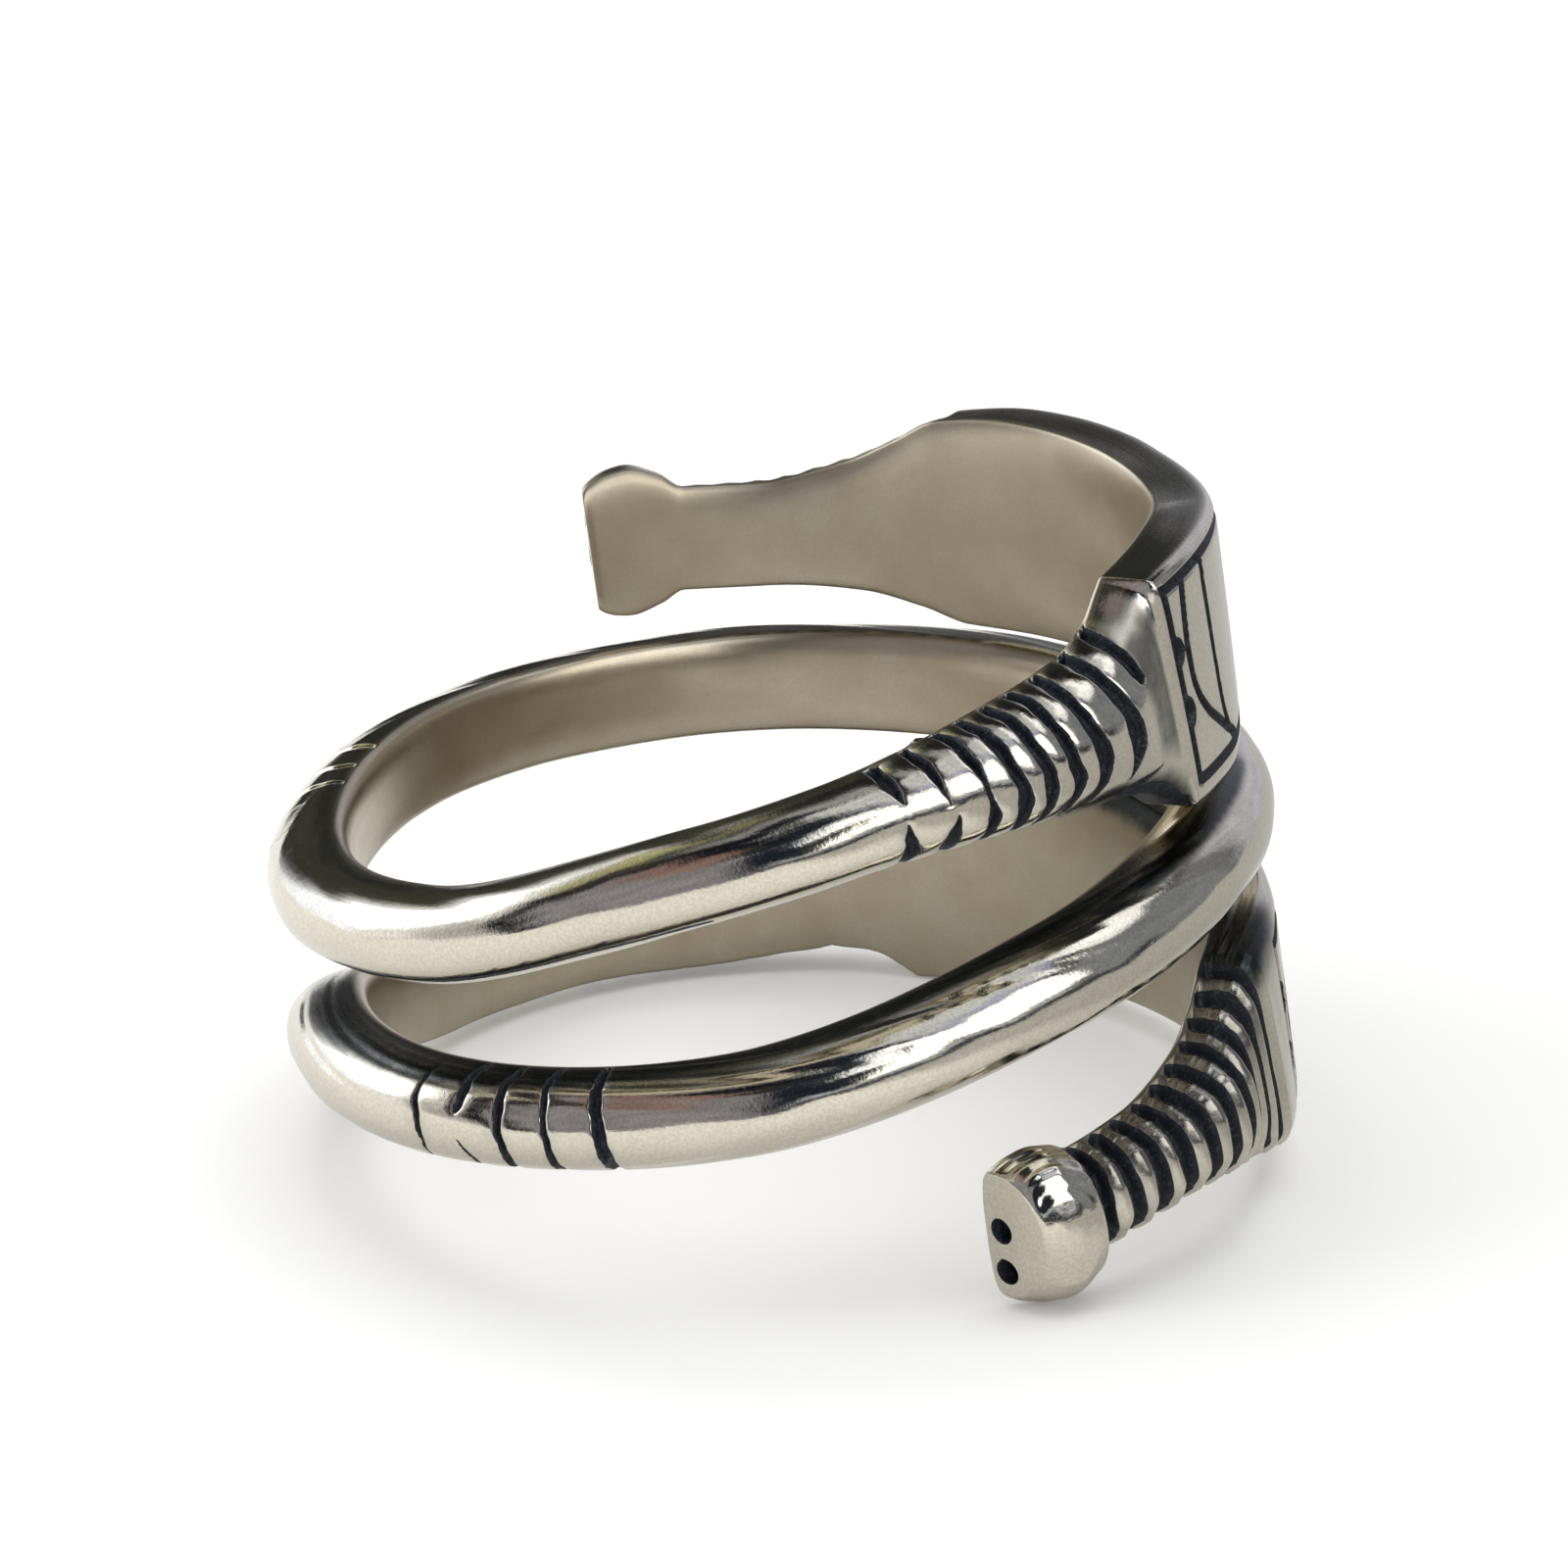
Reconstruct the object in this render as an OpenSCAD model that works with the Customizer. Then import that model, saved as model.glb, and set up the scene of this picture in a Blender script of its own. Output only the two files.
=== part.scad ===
// Wrapped finger ring with a snake's head at each end.
// One rod of silver winds two and a half times round the finger. Towards each end it
// swells into a ribbed neck, a broad flat plate, a second ribbed neck and a blunt snout.
// Both ends have the same form: half a turn about a level line through the middle of the
// rod swaps them.

/* [Finger] */
// Inner diameter of the coil
finger_d = 18; // [15:0.5:22]

/* [Rod] */
// Width of the smooth rod
rod_w = 2; // [1.8:0.1:2.2]
// Thickness of the smooth rod, from the flat inner face to the crown
rod_t = 1.9; // [1.4:0.1:2.2]

/* [Heads] */
// Greatest width of the plate
plate_w = 5.4; // [4.8:0.1:5.5]
// Thickness of the plate
plate_t = 1.6; // [1.2:0.05:2]
// Greatest thickness of the ribbed neck behind the plate
neck_t = 2.1; // [1.8:0.1:2.5]
// Width of the thin neck between plate and snout
throat_w = 2.4; // [2:0.05:2.8]
// Greatest width of the snout
snout_w = 3.35; // [3:0.05:4]
// Thickness of the snout
snout_t = 1.85; // [1.6:0.05:2.3]

/* [Ornament] */
// Depth of the cut grooves
groove_depth = 0.26; // [0.1:0.02:0.34]
// Diameter of the two holes in the end of the snout
nostril_d = 0.55; // [0.3:0.05:0.6]
// Distance between the two holes, centre to centre
nostril_gap = 0.9; // [0.8:0.05:1.1]
// Depth of the two holes
nostril_depth = 0.6; // [0.3:0.1:1]

/* [Hidden] */

// Angles run clockwise round the coil, seen from above, from 0 at +X. The rod starts at
// the upper snout and ends at the lower one.
first_angle = -106;
last_angle = 790;
middle_angle = (first_angle + last_angle) / 2;

// The coil is a little oval and slightly tighter at its upper end.
oval = 0.34;
oval_angle = 90;
taper = 0.12;
end_tuck = 0.15;

// How the ring lies on a flat surface: it leans by this much towards this angle.
lean = 7.5;
lean_angle = 195.5;

// Height of the rod's mid line round the coil.
// columns: angle, height
HEIGHTS = [
    [-106, 4.5], [-80, 4.15], [-45, 4.35], [-10, 4.26], [20, 4.48], [60, 4.33], [100, 3.35],
    [140, 1.75], [180, 1.2], [220, 1.35], [260, 1], [300, 0.5], [340, 0.2], [380, 0.15],
    [420, -0.45], [460, -1.6], [500, -2], [540, -2.25], [580, -3.8], [620, -4.2],
    [650, -3.7], [672, -3.7], [695, -3.95], [725, -4.15], [755, -4.75], [790, -5.4]
];

// Cross-sections of one end, from its snout to the middle of the rod. The squareness is the
// power of the curve of the outer face: 2 is an oval, 6 is nearly a box.
// columns: angle from the tip, width, thickness, squareness
SECTIONS = [
    [0, 0.84 * snout_w, snout_t, 2.4],
    [1.2, 0.92 * snout_w, 1.02 * snout_t, 2.4],
    [5, snout_w, snout_t, 2.4],
    [9, 0.88 * snout_w, 0.93 * snout_t, 2.3],
    [11.9, throat_w, 0.78 * snout_t, 2.3],
    [22, throat_w, 0.9 * snout_t, 2.3],
    [34, 1.25 * throat_w, 1.06 * snout_t, 2.4],
    [41.5, 0.71 * plate_w, 1.04 * plate_t, 3],
    [48.5, 0.87 * plate_w, plate_t, 5],
    [57.5, 0.9 * plate_w, 0.96 * plate_t, 8],
    [90, 0.92 * plate_w, 0.93 * plate_t, 10],
    [112, 0.96 * plate_w, 0.97 * plate_t, 12],
    [127, plate_w, 1.05 * plate_t, 12],
    [141, 0.97 * plate_w, 1.06 * plate_t, 12],
    [142.2, 0.92 * plate_w, plate_t, 7],
    [147, 0.73 * plate_w, 0.84 * neck_t, 2.8],
    [154.8, 0.6 * plate_w, 0.96 * neck_t, 2.2],
    [165, 0.52 * plate_w, 0.97 * neck_t, 2.1],
    [189, 1.03 * rod_w, 0.92 * rod_t, 2.1],
    [234, rod_w, rod_t, 2.1],
    [340, 1.1 * rod_w, rod_t, 2.1],
    [448, 1.24 * rod_w, 1.06 * rod_t, 2.2]
];

// Grooves of one end. They are cut across the outer face, from one angle round the
// section to another: 90 is the crown, 0 is the side that faces the other head.
// columns: angle from the tip, width, depth, first and last angle round the section
function evenly(first, pitch, count, row) = [
    for (i = [0 : count - 1]) concat([first + i * pitch], row)
];
THROAT_GROOVES = evenly(11.9, 3.9, 10, [0.42, groove_depth, -25, 205]);
NECK_GROOVES = [
    [149, 0.34, groove_depth, 85, 165],
    [154.8, 0.38, groove_depth, 10, 190],
    [159.7, 0.38, groove_depth, 0, 190],
    [164, 0.36, groove_depth, 0, 190],
    [167.4, 0.36, groove_depth, 0, 190],
    [170.7, 0.36, groove_depth, 0, 190],
    [174.6, 0.3, 0.8 * groove_depth, 0, 190],
    [178.4, 0.3, 0.7 * groove_depth, 0, 190],
    [182.7, 0.3, 0.7 * groove_depth, 0, 190]
];
ROD_GROOVES = [
    [291.2, 0.26, 0.5 * groove_depth, 20, 200],
    [297.5, 0.28, 0.6 * groove_depth, 20, 200],
    [303.5, 0.34, 0.9 * groove_depth, 10, 200],
    [309.5, 0.34, 0.9 * groove_depth, 10, 200],
    [316, 0.38, groove_depth, 0, 200]
];
GROOVES = concat(THROAT_GROOVES, NECK_GROOVES, ROD_GROOVES);

// The grooves bow by so many degrees at the crown: those of the ribbed neck towards the
// plate, the five on the smooth rod a little the other way. The plate's cross edge is
// skewed: its end on the side that faces the other head lies nearer to the tip. The end of
// the snout is slanted, so that its outer edge lies further from the tip than the inner one.
// columns: angle from the tip, bow, skew, slant
BOWS = [
    [0, 0, 0, 3.6], [9.8, 0, 0, 0], [117, 0, 0, 0], [130, 0, 1.5, 0], [142.2, 0, 1.5, 0],
    [154.8, 2.6, 0, 0], [169, 2.6, 0, 0], [185, 1.6, 0, 0], [215, 0, 0, 0],
    [270, 0, 0, 0], [292, -0.6, 0, 0], [316, -0.6, 0, 0], [340, 0, 0, 0], [448, 0, 0, 0]
];

// The bow leans towards the side that faces the other head by this share.
bow_lean = 0.6;
// Angle round the section over which the end of a groove rises to the surface
groove_end = 12;
// Height on the snout's end at which its slant starts, and that of the holes there, as
// shares of its thickness
slant_pivot = 0.3;
nostril_rise = 0.26;
// The holes lie this much off the rod's mid line, away from the other head
nostril_shift = 0.34;

// Largest step between neighbouring sections, in degrees round the coil
plain_step = 5.5;
// Angles round the section: the outer face is drawn finer than the flat inner one
SECTION_ANGLES = concat([for (a = [0 : 12 : 180]) a], [202, 230, 270, 310, 338]);
// Share of the thickness that is below the widest line, and the power of its corners
base_share = 0.22;
base_power = 4;

// Smooth curve through the rows of a table: each row's slope is the harmonic mean of its
// neighbours' slopes, and level where the table turns.
function rise(table, c, i) =
    (table[i + 1][c] - table[i][c]) / (table[i + 1][0] - table[i][0]);
function slope(table, c, i) =
    i == 0 || i == len(table) - 1 ? 0 :
    let (a = rise(table, c, i - 1), b = rise(table, c, i))
    a * b <= 0 ? 0 : 2 * a * b / (a + b);
function row_below(table, x, i = 0) =
    i >= len(table) - 2 || x < table[i + 1][0] ? i : row_below(table, x, i + 1);
function look(table, c, x) =
    let (
        i = row_below(table, x),
        step = table[i + 1][0] - table[i][0],
        u = max(0, min(1, (x - table[i][0]) / step)),
        low = table[i][c],
        high = table[i + 1][c]
    )
    low + (high - low) * u * u * (3 - 2 * u)
    + step * u * (1 - u) * (slope(table, c, i) * (1 - u) - slope(table, c, i + 1) * u);

// Place and directions of the rod's mid line at an angle of the coil
function share(angle) = (angle - middle_angle) / (last_angle - middle_angle);
function radius(angle) =
    finger_d / 2 + oval * cos(2 * (angle - oval_angle))
    + taper * share(angle) + end_tuck * pow(share(angle), 2);
function height(angle) = look(HEIGHTS, 1, angle);
function outward(angle) = [cos(angle), -sin(angle), 0];
function on_line(angle) = radius(angle) * outward(angle) + [0, 0, height(angle)];
function unit(v) = v / norm(v);
function along(angle) = unit(on_line(angle + 0.5) - on_line(angle - 0.5));
function across(angle) = unit(cross(outward(angle), along(angle)));

// Distance in degrees from the nearer tip, and the side that faces the other head
function from_tip(angle) = min(angle - first_angle, last_angle - angle);
function end_sign(angle) = angle < middle_angle ? 1 : -1;

// Point of the section at angle a, before the grooves are cut: x across, y outward
function bent(value, power) = sign(value) * pow(abs(value), 2 / power);
function section_point(tip, a) =
    let (
        half = look(SECTIONS, 1, tip) / 2,
        thick = look(SECTIONS, 2, tip),
        power = a <= 180 ? look(SECTIONS, 3, tip) : base_power,
        base = base_share * thick,
        side = a <= 180 ? thick - base : base
    )
    [half * bent(cos(a), power), base + side * bent(sin(a), power)];

// Depth cut at a place: each groove is deepest on its own line and ends in a short slope
function groove_reach(g) = g[1] / radius(0) * 180 / PI / 2;
function ramp(x, from) = max(0, min(1, (x - from) / groove_end));
function wrapped(a) = a > 270 ? a - 360 : a;
function cut(g, tip, a) =
    g[2] * max(0, 1 - abs(tip - g[0]) / groove_reach(g))
    * ramp(wrapped(a), g[3]) * ramp(-wrapped(a), -g[4]);
function groove(tip, a) = max([for (g = GROOVES) cut(g, tip, a)]);

// Point of the surface at an angle of the coil and an angle a round the section. The bow
// is measured by facing, the cosine of the angle from the side of the other head.
function bow(tip, facing) =
    look(BOWS, 1, tip) * (1 - facing * facing) * (1 + bow_lean * facing);
function surface_point(angle, a) =
    let (
        tip = from_tip(angle),
        way = end_sign(angle),
        turned = way > 0 ? a : 180 - a,
        depth = groove(tip, turned < 0 ? turned + 360 : turned),
        flat = section_point(tip, a) - depth * [cos(a), sin(a)],
        bowed = a <= 180 ? bow(tip, cos(turned)) : 0,
        skewed = look(BOWS, 2, tip) * cos(turned),
        slanted = look(BOWS, 3, tip) * (slant_pivot - flat[1] / snout_t),
        moved = angle - way * (bowed + skewed + slanted)
    )
    on_line(moved) + across(moved) * flat[0] + outward(moved) * flat[1];

// Angles of the sections: three at every groove and even steps between
function breaks(grooves) = [
    for (g = grooves) each [g[0] - groove_reach(g), g[0], g[0] + groove_reach(g)]
];
TIP_BREAKS = concat(
    [0, 0.6, 1.2, 2.4, 4, 6, 8, 9.8],
    breaks(THROAT_GROOVES),
    [48.6, 52, 57.5, 139.8, 141, 142.2, 145],
    breaks(NECK_GROOVES),
    breaks(ROD_GROOVES)
);
function filled(list, last) = [
    for (i = [0 : len(list) - 1])
        let (
            from = list[i],
            to = i < len(list) - 1 ? list[i + 1] : last,
            parts = ceil((to - from) / plain_step)
        )
        each [for (j = [0 : parts - 1]) from + (to - from) * j / parts]
];
HALF = filled(TIP_BREAKS, middle_angle - first_angle);
ANGLES = concat(
    [for (d = HALF) first_angle + d],
    [middle_angle],
    [for (i = [len(HALF) - 1 : -1 : 0]) last_angle - HALF[i]]
);

// The ring as it lies: leaned, with the middle of its box above the origin
lean_axis = [sin(lean_angle), cos(lean_angle), 0];
function leaned(p) =
    p * cos(lean) + cross(lean_axis, p) * sin(lean)
    + lean_axis * (lean_axis * p) * (1 - cos(lean));
RAW = [for (angle = ANGLES) for (a = SECTION_ANGLES) leaned(surface_point(angle, a))];
function reach(axis, way) = max([for (p = RAW) way * p[axis]]);
SEAT = [
    (reach(0, 1) - reach(0, -1)) / 2,
    (reach(1, 1) - reach(1, -1)) / 2,
    -reach(2, -1)
];

// Middle of the closed line of n points that starts at point number first
function middle_of(points, first, n) =
    [for (k = [0 : n - 1]) 1] * [for (k = [0 : n - 1]) points[first + k]] / n;

module band() {
    n = len(SECTION_ANGLES);
    rings = len(ANGLES);
    points = [for (p = RAW) p - SEAT];
    sides = [
        for (r = [0 : rings - 2]) for (k = [0 : n - 1])
            let (a = r * n + k, b = r * n + (k + 1) % n)
            each [[a, b + n, b], [a, a + n, b + n]]
    ];
    first_cap = [for (k = [0 : n - 1]) [k, (k + 1) % n, rings * n]];
    start = (rings - 1) * n;
    last_cap = [for (k = [0 : n - 1]) [start + (k + 1) % n, start + k, rings * n + 1]];
    ends = [middle_of(points, 0, n), middle_of(points, start, n)];
    polyhedron(concat(points, ends), concat(sides, first_cap, last_cap), convexity = 12);
}

// The two holes in one end face, drilled along the rod
module nostrils(angle) {
    ahead = leaned(along(angle));
    aside = leaned(across(angle));
    up = leaned(outward(angle));
    middle = leaned(on_line(angle) + outward(angle) * snout_t * nostril_rise) - SEAT;
    for (side = [-1, 1]) {
        at = middle + aside * (side * nostril_gap / 2 - end_sign(angle) * nostril_shift);
        multmatrix([
            [aside[0], up[0], ahead[0], at[0]],
            [aside[1], up[1], ahead[1], at[1]],
            [aside[2], up[2], ahead[2], at[2]]
        ])
            cylinder(d = nostril_d, h = 2 * nostril_depth, center = true, $fn = 24);
    }
}

module ring() {
    color("silver")
        difference() {
            band();
            nostrils(first_angle);
            nostrils(last_angle);
        }
}

ring();
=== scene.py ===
"""A silver ring: one rod wound two and a half times round a finger, with a snake's head at
each end. Every piece is a stretch of that rod, worked out as a surface of two parameters."""

import bpy
import numpy as np
from mathutils import Matrix


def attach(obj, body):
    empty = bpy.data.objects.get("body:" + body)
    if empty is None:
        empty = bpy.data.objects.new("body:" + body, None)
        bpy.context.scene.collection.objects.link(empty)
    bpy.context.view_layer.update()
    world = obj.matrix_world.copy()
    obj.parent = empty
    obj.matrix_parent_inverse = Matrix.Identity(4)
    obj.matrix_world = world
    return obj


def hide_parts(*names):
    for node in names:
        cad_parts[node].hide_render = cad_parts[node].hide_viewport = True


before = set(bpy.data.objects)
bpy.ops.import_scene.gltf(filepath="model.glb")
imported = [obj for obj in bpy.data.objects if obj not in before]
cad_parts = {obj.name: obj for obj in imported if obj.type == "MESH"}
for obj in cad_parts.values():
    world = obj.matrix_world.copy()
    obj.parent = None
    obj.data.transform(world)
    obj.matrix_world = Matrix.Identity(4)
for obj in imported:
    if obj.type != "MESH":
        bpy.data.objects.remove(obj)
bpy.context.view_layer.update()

MM = 0.001
# About how long one degree of the coil is, in mm along the rod
MM_PER_DEGREE = 0.19
# The distance from a cut's edge where no cut is near, and from the fine line where it ends
OUTSIDE, FAR = -9.0, 60.0
# A place this close to the tip, in degrees, is the tip
AT_TIP = 1e-6

# The coil, in millimetres and degrees. Angles run clockwise seen from above, from 0 at +X.
FINGER_D = 18
ROD_W, ROD_T = 2.0, 1.9
PLATE_W, PLATE_T = 5.4, 1.6
NECK_T = 2.1
THROAT_W = 2.4
SNOUT_W, SNOUT_T = 3.35, 1.85
FIRST_ANGLE, LAST_ANGLE = -106.0, 790.0
MIDDLE_ANGLE = (FIRST_ANGLE + LAST_ANGLE) / 2
OVAL, OVAL_ANGLE = 0.34, 90.0
TAPER, END_TUCK = 0.12, 0.15
LEAN, LEAN_ANGLE = np.radians(7.5), np.radians(195.5)
SEAT = np.array([0.215483, 0.0238578, -6.21143])
BASE_SHARE, BASE_POWER = 0.22, 3.0

# Height of the rod's mid line: angle, height
HEIGHTS = np.array([
    (-106, 4.5), (-80, 4.15), (-45, 4.35), (-10, 4.26), (20, 4.48), (60, 4.33),
    (100, 3.35), (140, 1.75), (180, 1.2), (220, 1.35), (260, 1), (300, 0.5), (340, 0.2),
    (380, 0.15), (420, -0.45), (460, -1.6), (500, -2), (540, -2.25), (580, -3.8),
    (620, -4.2), (650, -3.7), (672, -3.7), (695, -3.95), (725, -4.15), (755, -4.75),
    (790, -5.4),
])

# Sections of one end: degrees from the tip, width, thickness, squareness of the outer face
SECTIONS = np.array([
    (0, 0.8 * SNOUT_W, 0.85 * SNOUT_T, 2.25),
    (0.22, 0.83 * SNOUT_W, 0.885 * SNOUT_T, 2.25),
    (1.2, 0.91 * SNOUT_W, 0.95 * SNOUT_T, 2.3),
    (2.8, 0.97 * SNOUT_W, 0.99 * SNOUT_T, 2.35),
    (5, SNOUT_W, SNOUT_T, 2.4),
    (9, 0.88 * SNOUT_W, 0.93 * SNOUT_T, 2.3),
    (11.9, THROAT_W, 0.78 * SNOUT_T, 2.3),
    (22, THROAT_W, 0.9 * SNOUT_T, 2.3),
    (34, 1.25 * THROAT_W, 1.06 * SNOUT_T, 2.4),
    (41.5, 0.71 * PLATE_W, 1.04 * PLATE_T, 3),
    (48.5, 0.87 * PLATE_W, PLATE_T, 5),
    (57.5, 0.9 * PLATE_W, 0.96 * PLATE_T, 8),
    (90, 0.92 * PLATE_W, 0.93 * PLATE_T, 10),
    (112, 0.96 * PLATE_W, 0.97 * PLATE_T, 12),
    (127, PLATE_W, 1.05 * PLATE_T, 12),
    (141, 0.97 * PLATE_W, 1.06 * PLATE_T, 10),
    (142.2, 0.92 * PLATE_W, PLATE_T, 5),
    (147, 0.73 * PLATE_W, 0.84 * NECK_T, 3),
    (154.8, 0.6 * PLATE_W, 0.96 * NECK_T, 2.25),
    (165, 0.52 * PLATE_W, 0.97 * NECK_T, 2.1),
    (189, 1.03 * ROD_W, 0.92 * ROD_T, 2.1),
    (234, ROD_W, ROD_T, 2.1),
    (340, 1.1 * ROD_W, ROD_T, 2.1),
    (448, 1.24 * ROD_W, 1.06 * ROD_T, 2.2),
])

# How cross lines are moved along the rod: degrees from the tip, bow, skew, slant
BOWS = np.array([
    (0, 0, 0, 3.6), (9.8, 0, 0, 0), (117, 0, 0, 0), (130, 0, 1.5, 0), (142.2, 0, 1.5, 0),
    (154.8, 2.6, 0, 0), (169, 2.6, 0, 0), (185, 1.6, 0, 0), (215, 0, 0, 0),
    (270, 0, 0, 0), (292, -0.6, 0, 0), (316, -0.6, 0, 0), (340, 0, 0, 0), (448, 0, 0, 0),
])
BOW_LEAN = 0.6
SLANT_PIVOT = 0.3

# Cut strokes of one end. Each row is the angle round the section (90 is the crown, 0 the
# side that faces the other head), the degrees from the tip and the width in millimetres.
NECK_STROKES = [
    [(117, 149.7, 0.36), (124, 150, 0.42), (140, 150, 0.39), (162, 149.6, 0.39),
     (196, 148.4, 0.33)],
    [(30, 153.4, 0.5), (42, 153, 0.48), (48, 151.2, 0.4), (56, 148.4, 0.04)],
    [(52, 155.6, 0.02), (66, 155.4, 0.27), (78, 154.9, 0.54), (93, 155, 0.56), (114, 155, 0.42),
     (135, 155, 0.36), (156, 155, 0.35), (205, 153.9, 0.35)],
    [(44, 161.2, 0.16), (60, 160.8, 0.32), (80, 160.8, 0.44), (96, 160.7, 0.46),
     (114, 160.6, 0.34), (134, 160.3, 0.31), (154, 160, 0.33), (196, 159.8, 0.29)],
    [(36, 164.3, 0.15), (57, 164.7, 0.26), (74, 164.6, 0.36), (92, 164.9, 0.33),
     (112, 164.6, 0.29), (130, 164.2, 0.27), (153, 163.7, 0.28), (192, 164.4, 0.24)],
    [(26, 167.3, 0.14), (54, 168.2, 0.25), (74, 168.4, 0.34), (92, 168.3, 0.34),
     (111, 168.1, 0.28), (134, 167.6, 0.27), (153, 167.4, 0.26), (192, 168, 0.22)],
    [(18, 170, 0.17), (52, 171.4, 0.32), (74, 171.8, 0.37), (93, 171.7, 0.28), (114, 171.4, 0.24),
     (132, 171, 0.29), (154, 170.7, 0.26), (188, 171.6, 0.18)],
    [(10, 174.2, 0.18), (39, 174.8, 0.23), (68, 175.4, 0.28), (88, 175.3, 0.1),
     (110, 174.9, 0.09), (130, 174.3, 0.22), (156, 173.9, 0.24), (188, 174.7, 0.18)],
    [(98, 179.3, 0.02), (118, 178.8, 0.07), (132, 178.4, 0.18), (150, 178.3, 0.25),
     (188, 178.8, 0.18)],
    [(8, 178.9, 0.24), (26, 179.3, 0.31), (46, 179.7, 0.4), (68, 179.5, 0.23), (85, 179, 0.02)],
    [(118, 183.1, 0.02), (132, 182.8, 0.21), (146, 182.8, 0.3), (176, 183.2, 0.28)],
    [(14, 184, 0.22), (32, 184, 0.28), (52, 184.1, 0.37), (76, 184.2, 0.2), (95, 184, 0.02)],
]
ROD_STROKES = [
    [(20, 290.8, 0.05), (34, 290.5, 0.09), (46, 290.2, 0.09), (58, 290.3, 0.17),
     (72, 291.1, 0.16), (93, 291.3, 0.16), (104, 291.4, 0.11), (122, 291.2, 0.07),
     (140, 291, 0.05)],
    [(0, 297.4, 0.14), (16, 297.3, 0.21), (38, 297.4, 0.26), (58, 297.2, 0.25), (65, 297, 0.06)],
    [(96, 297.3, 0.04), (111, 298.1, 0.09), (126, 298.6, 0.1), (150, 298.8, 0.08)],
    [(-4, 303.4, 0.16), (14, 303.3, 0.21), (33, 303, 0.24), (54, 303, 0.25), (76, 303.1, 0.21),
     (99, 303.6, 0.19), (140, 303.8, 0.25), (186, 303.6, 0.2)],
    [(-4, 309.2, 0.14), (12, 309, 0.16), (32, 308.8, 0.16), (51, 309, 0.15), (78, 309.2, 0.14),
     (104, 309.5, 0.16), (129, 309.7, 0.25), (186, 309.5, 0.2)],
    [(-6, 315.6, 0.18), (14, 315.5, 0.21), (32, 315.4, 0.25), (51, 315.5, 0.27),
     (78, 315.6, 0.29), (104, 316, 0.31), (126, 316.2, 0.31), (190, 316, 0.25)],
]
STROKE_DEPTH, STROKE_WALL = 0.2, 0.09
# A stroke ends this many degrees past its last row, where its width is below zero
STROKE_END, CLOSED = 5.0, -0.3
# How much is left of the strokes on the upper turn, where the ring is more worn
FAINT = 0.3
# How much the metal beside a cut is rounded down, in mm: at the lip of a stroke, and wider on
# the neck, on the rod and in the throat
LIP, NECK_PILLOW, ROD_PILLOW, THROAT_PILLOW = 0.006, 0.024, 0.007, 0.13

# The ten cut rings of the throat
THROAT_FIRST, THROAT_PITCH, THROAT_COUNT = 11.9, 3.9, 10
THROAT_DEPTH, THROAT_WIDTH, THROAT_WALL = 0.26, 0.38, 0.17

# The engraved border of the plate. An arc's row is the place across the plate, positive
# towards the other head, and the degrees from the tip.
PLATE_END, PLATE_MIDDLE = 140.4, 96.0
OUTER_ARC = np.array([
    (-2.6, 135.6), (-1.93, 136.5), (-1.35, 137.1), (-0.71, 137.5), (-0.14, 137.4), (0.28, 136.75),
    (0.79, 134.75), (1.2, 132), (1.56, 129.25), (2.2, 124),
])
INNER_ARC = np.array([
    (-2.6, 129.4), (-2.06, 129.75), (-1.56, 130), (-0.65, 130), (0.28, 129.8), (1.04, 129.4),
    (1.47, 128.6), (2.2, 126.5),
])
LINE_WIDTH, LINE_DEPTH, LINE_WALL = 0.24, 0.13, 0.08
# The side lines' distance from the rim: towards the other head, and away from it
BORDER_INSETS = 0.62, 0.36
# How much closer together the lines are on the far end of the plate
FAR_END_SCALE = 1.13
# The punched half rounds: the place across the plate and half the width of each, then the
# height and the steepness of both
PUNCHES = [(-0.87, 0.35), (0.5, 0.38)]
PUNCH_HEIGHT, PUNCH_SLOPE = 0.38, 0.3

# Distances from the tip, in degrees, between which each kind of cut lies
NECK_CUTS, ROD_CUTS, THROAT_CUTS, PLATE_CUTS = (144, 190), (286, 321), (-1, 49.5), (50, 142)

# The end of the snout: its two holes, and how far it bulges
NOSTRIL_D, NOSTRIL_GAP, NOSTRIL_DEPTH = 0.55, 0.9, 0.55
NOSTRIL_RISE, NOSTRIL_SHIFT = 0.26 * SNOUT_T, 0.34
NOSTRIL_STRETCH, NOSTRIL_WALL = 1.12, 0.05
SNOUT_BULGE = 0.05

# The surface lies this far inside the plain solid, so that its unevenness stays within it
INSET = 0.028
# Direction round the section, in degrees, of the fine dark line along the rod, a painted dark
# reflection
FINE_LINE = 46.5
# Length round the section in the map "along"
ROUND_MAP = 8


def look(table, column, x):
    """Smooth curve through the rows of a table: a cubic between two rows, whose slope at a
    row is the harmonic mean of its neighbours' slopes, and level where the table turns."""
    at, value = table[:, 0], table[:, column]
    rise = np.diff(value) / np.diff(at)
    before, after = rise[:-1], rise[1:]
    same = before * after > 0
    total = np.where(same, before + after, 1)
    slope = np.concatenate([[0], np.where(same, 2 * before * after / total, 0), [0]])
    x = np.asarray(x, float)
    i = np.clip(np.searchsorted(at, x, side="right") - 1, 0, len(at) - 2)
    step = at[i + 1] - at[i]
    u = np.clip((x - at[i]) / step, 0, 1)
    line = value[i] + (value[i + 1] - value[i]) * u * u * (3 - 2 * u)
    return line + step * u * (1 - u) * (slope[i] * (1 - u) - slope[i + 1] * u)


def smooth(low, high, x):
    """Zero below low, one above high, and a cubic ease between."""
    u = np.clip((x - low) / (high - low), 0, 1)
    return u * u * (3 - 2 * u)


def within(x, start, full, fading, end):
    """Zero before start, one from full to fading, zero after end, with an ease between."""
    return smooth(start, full, x) * smooth(end, fading, x)


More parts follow.
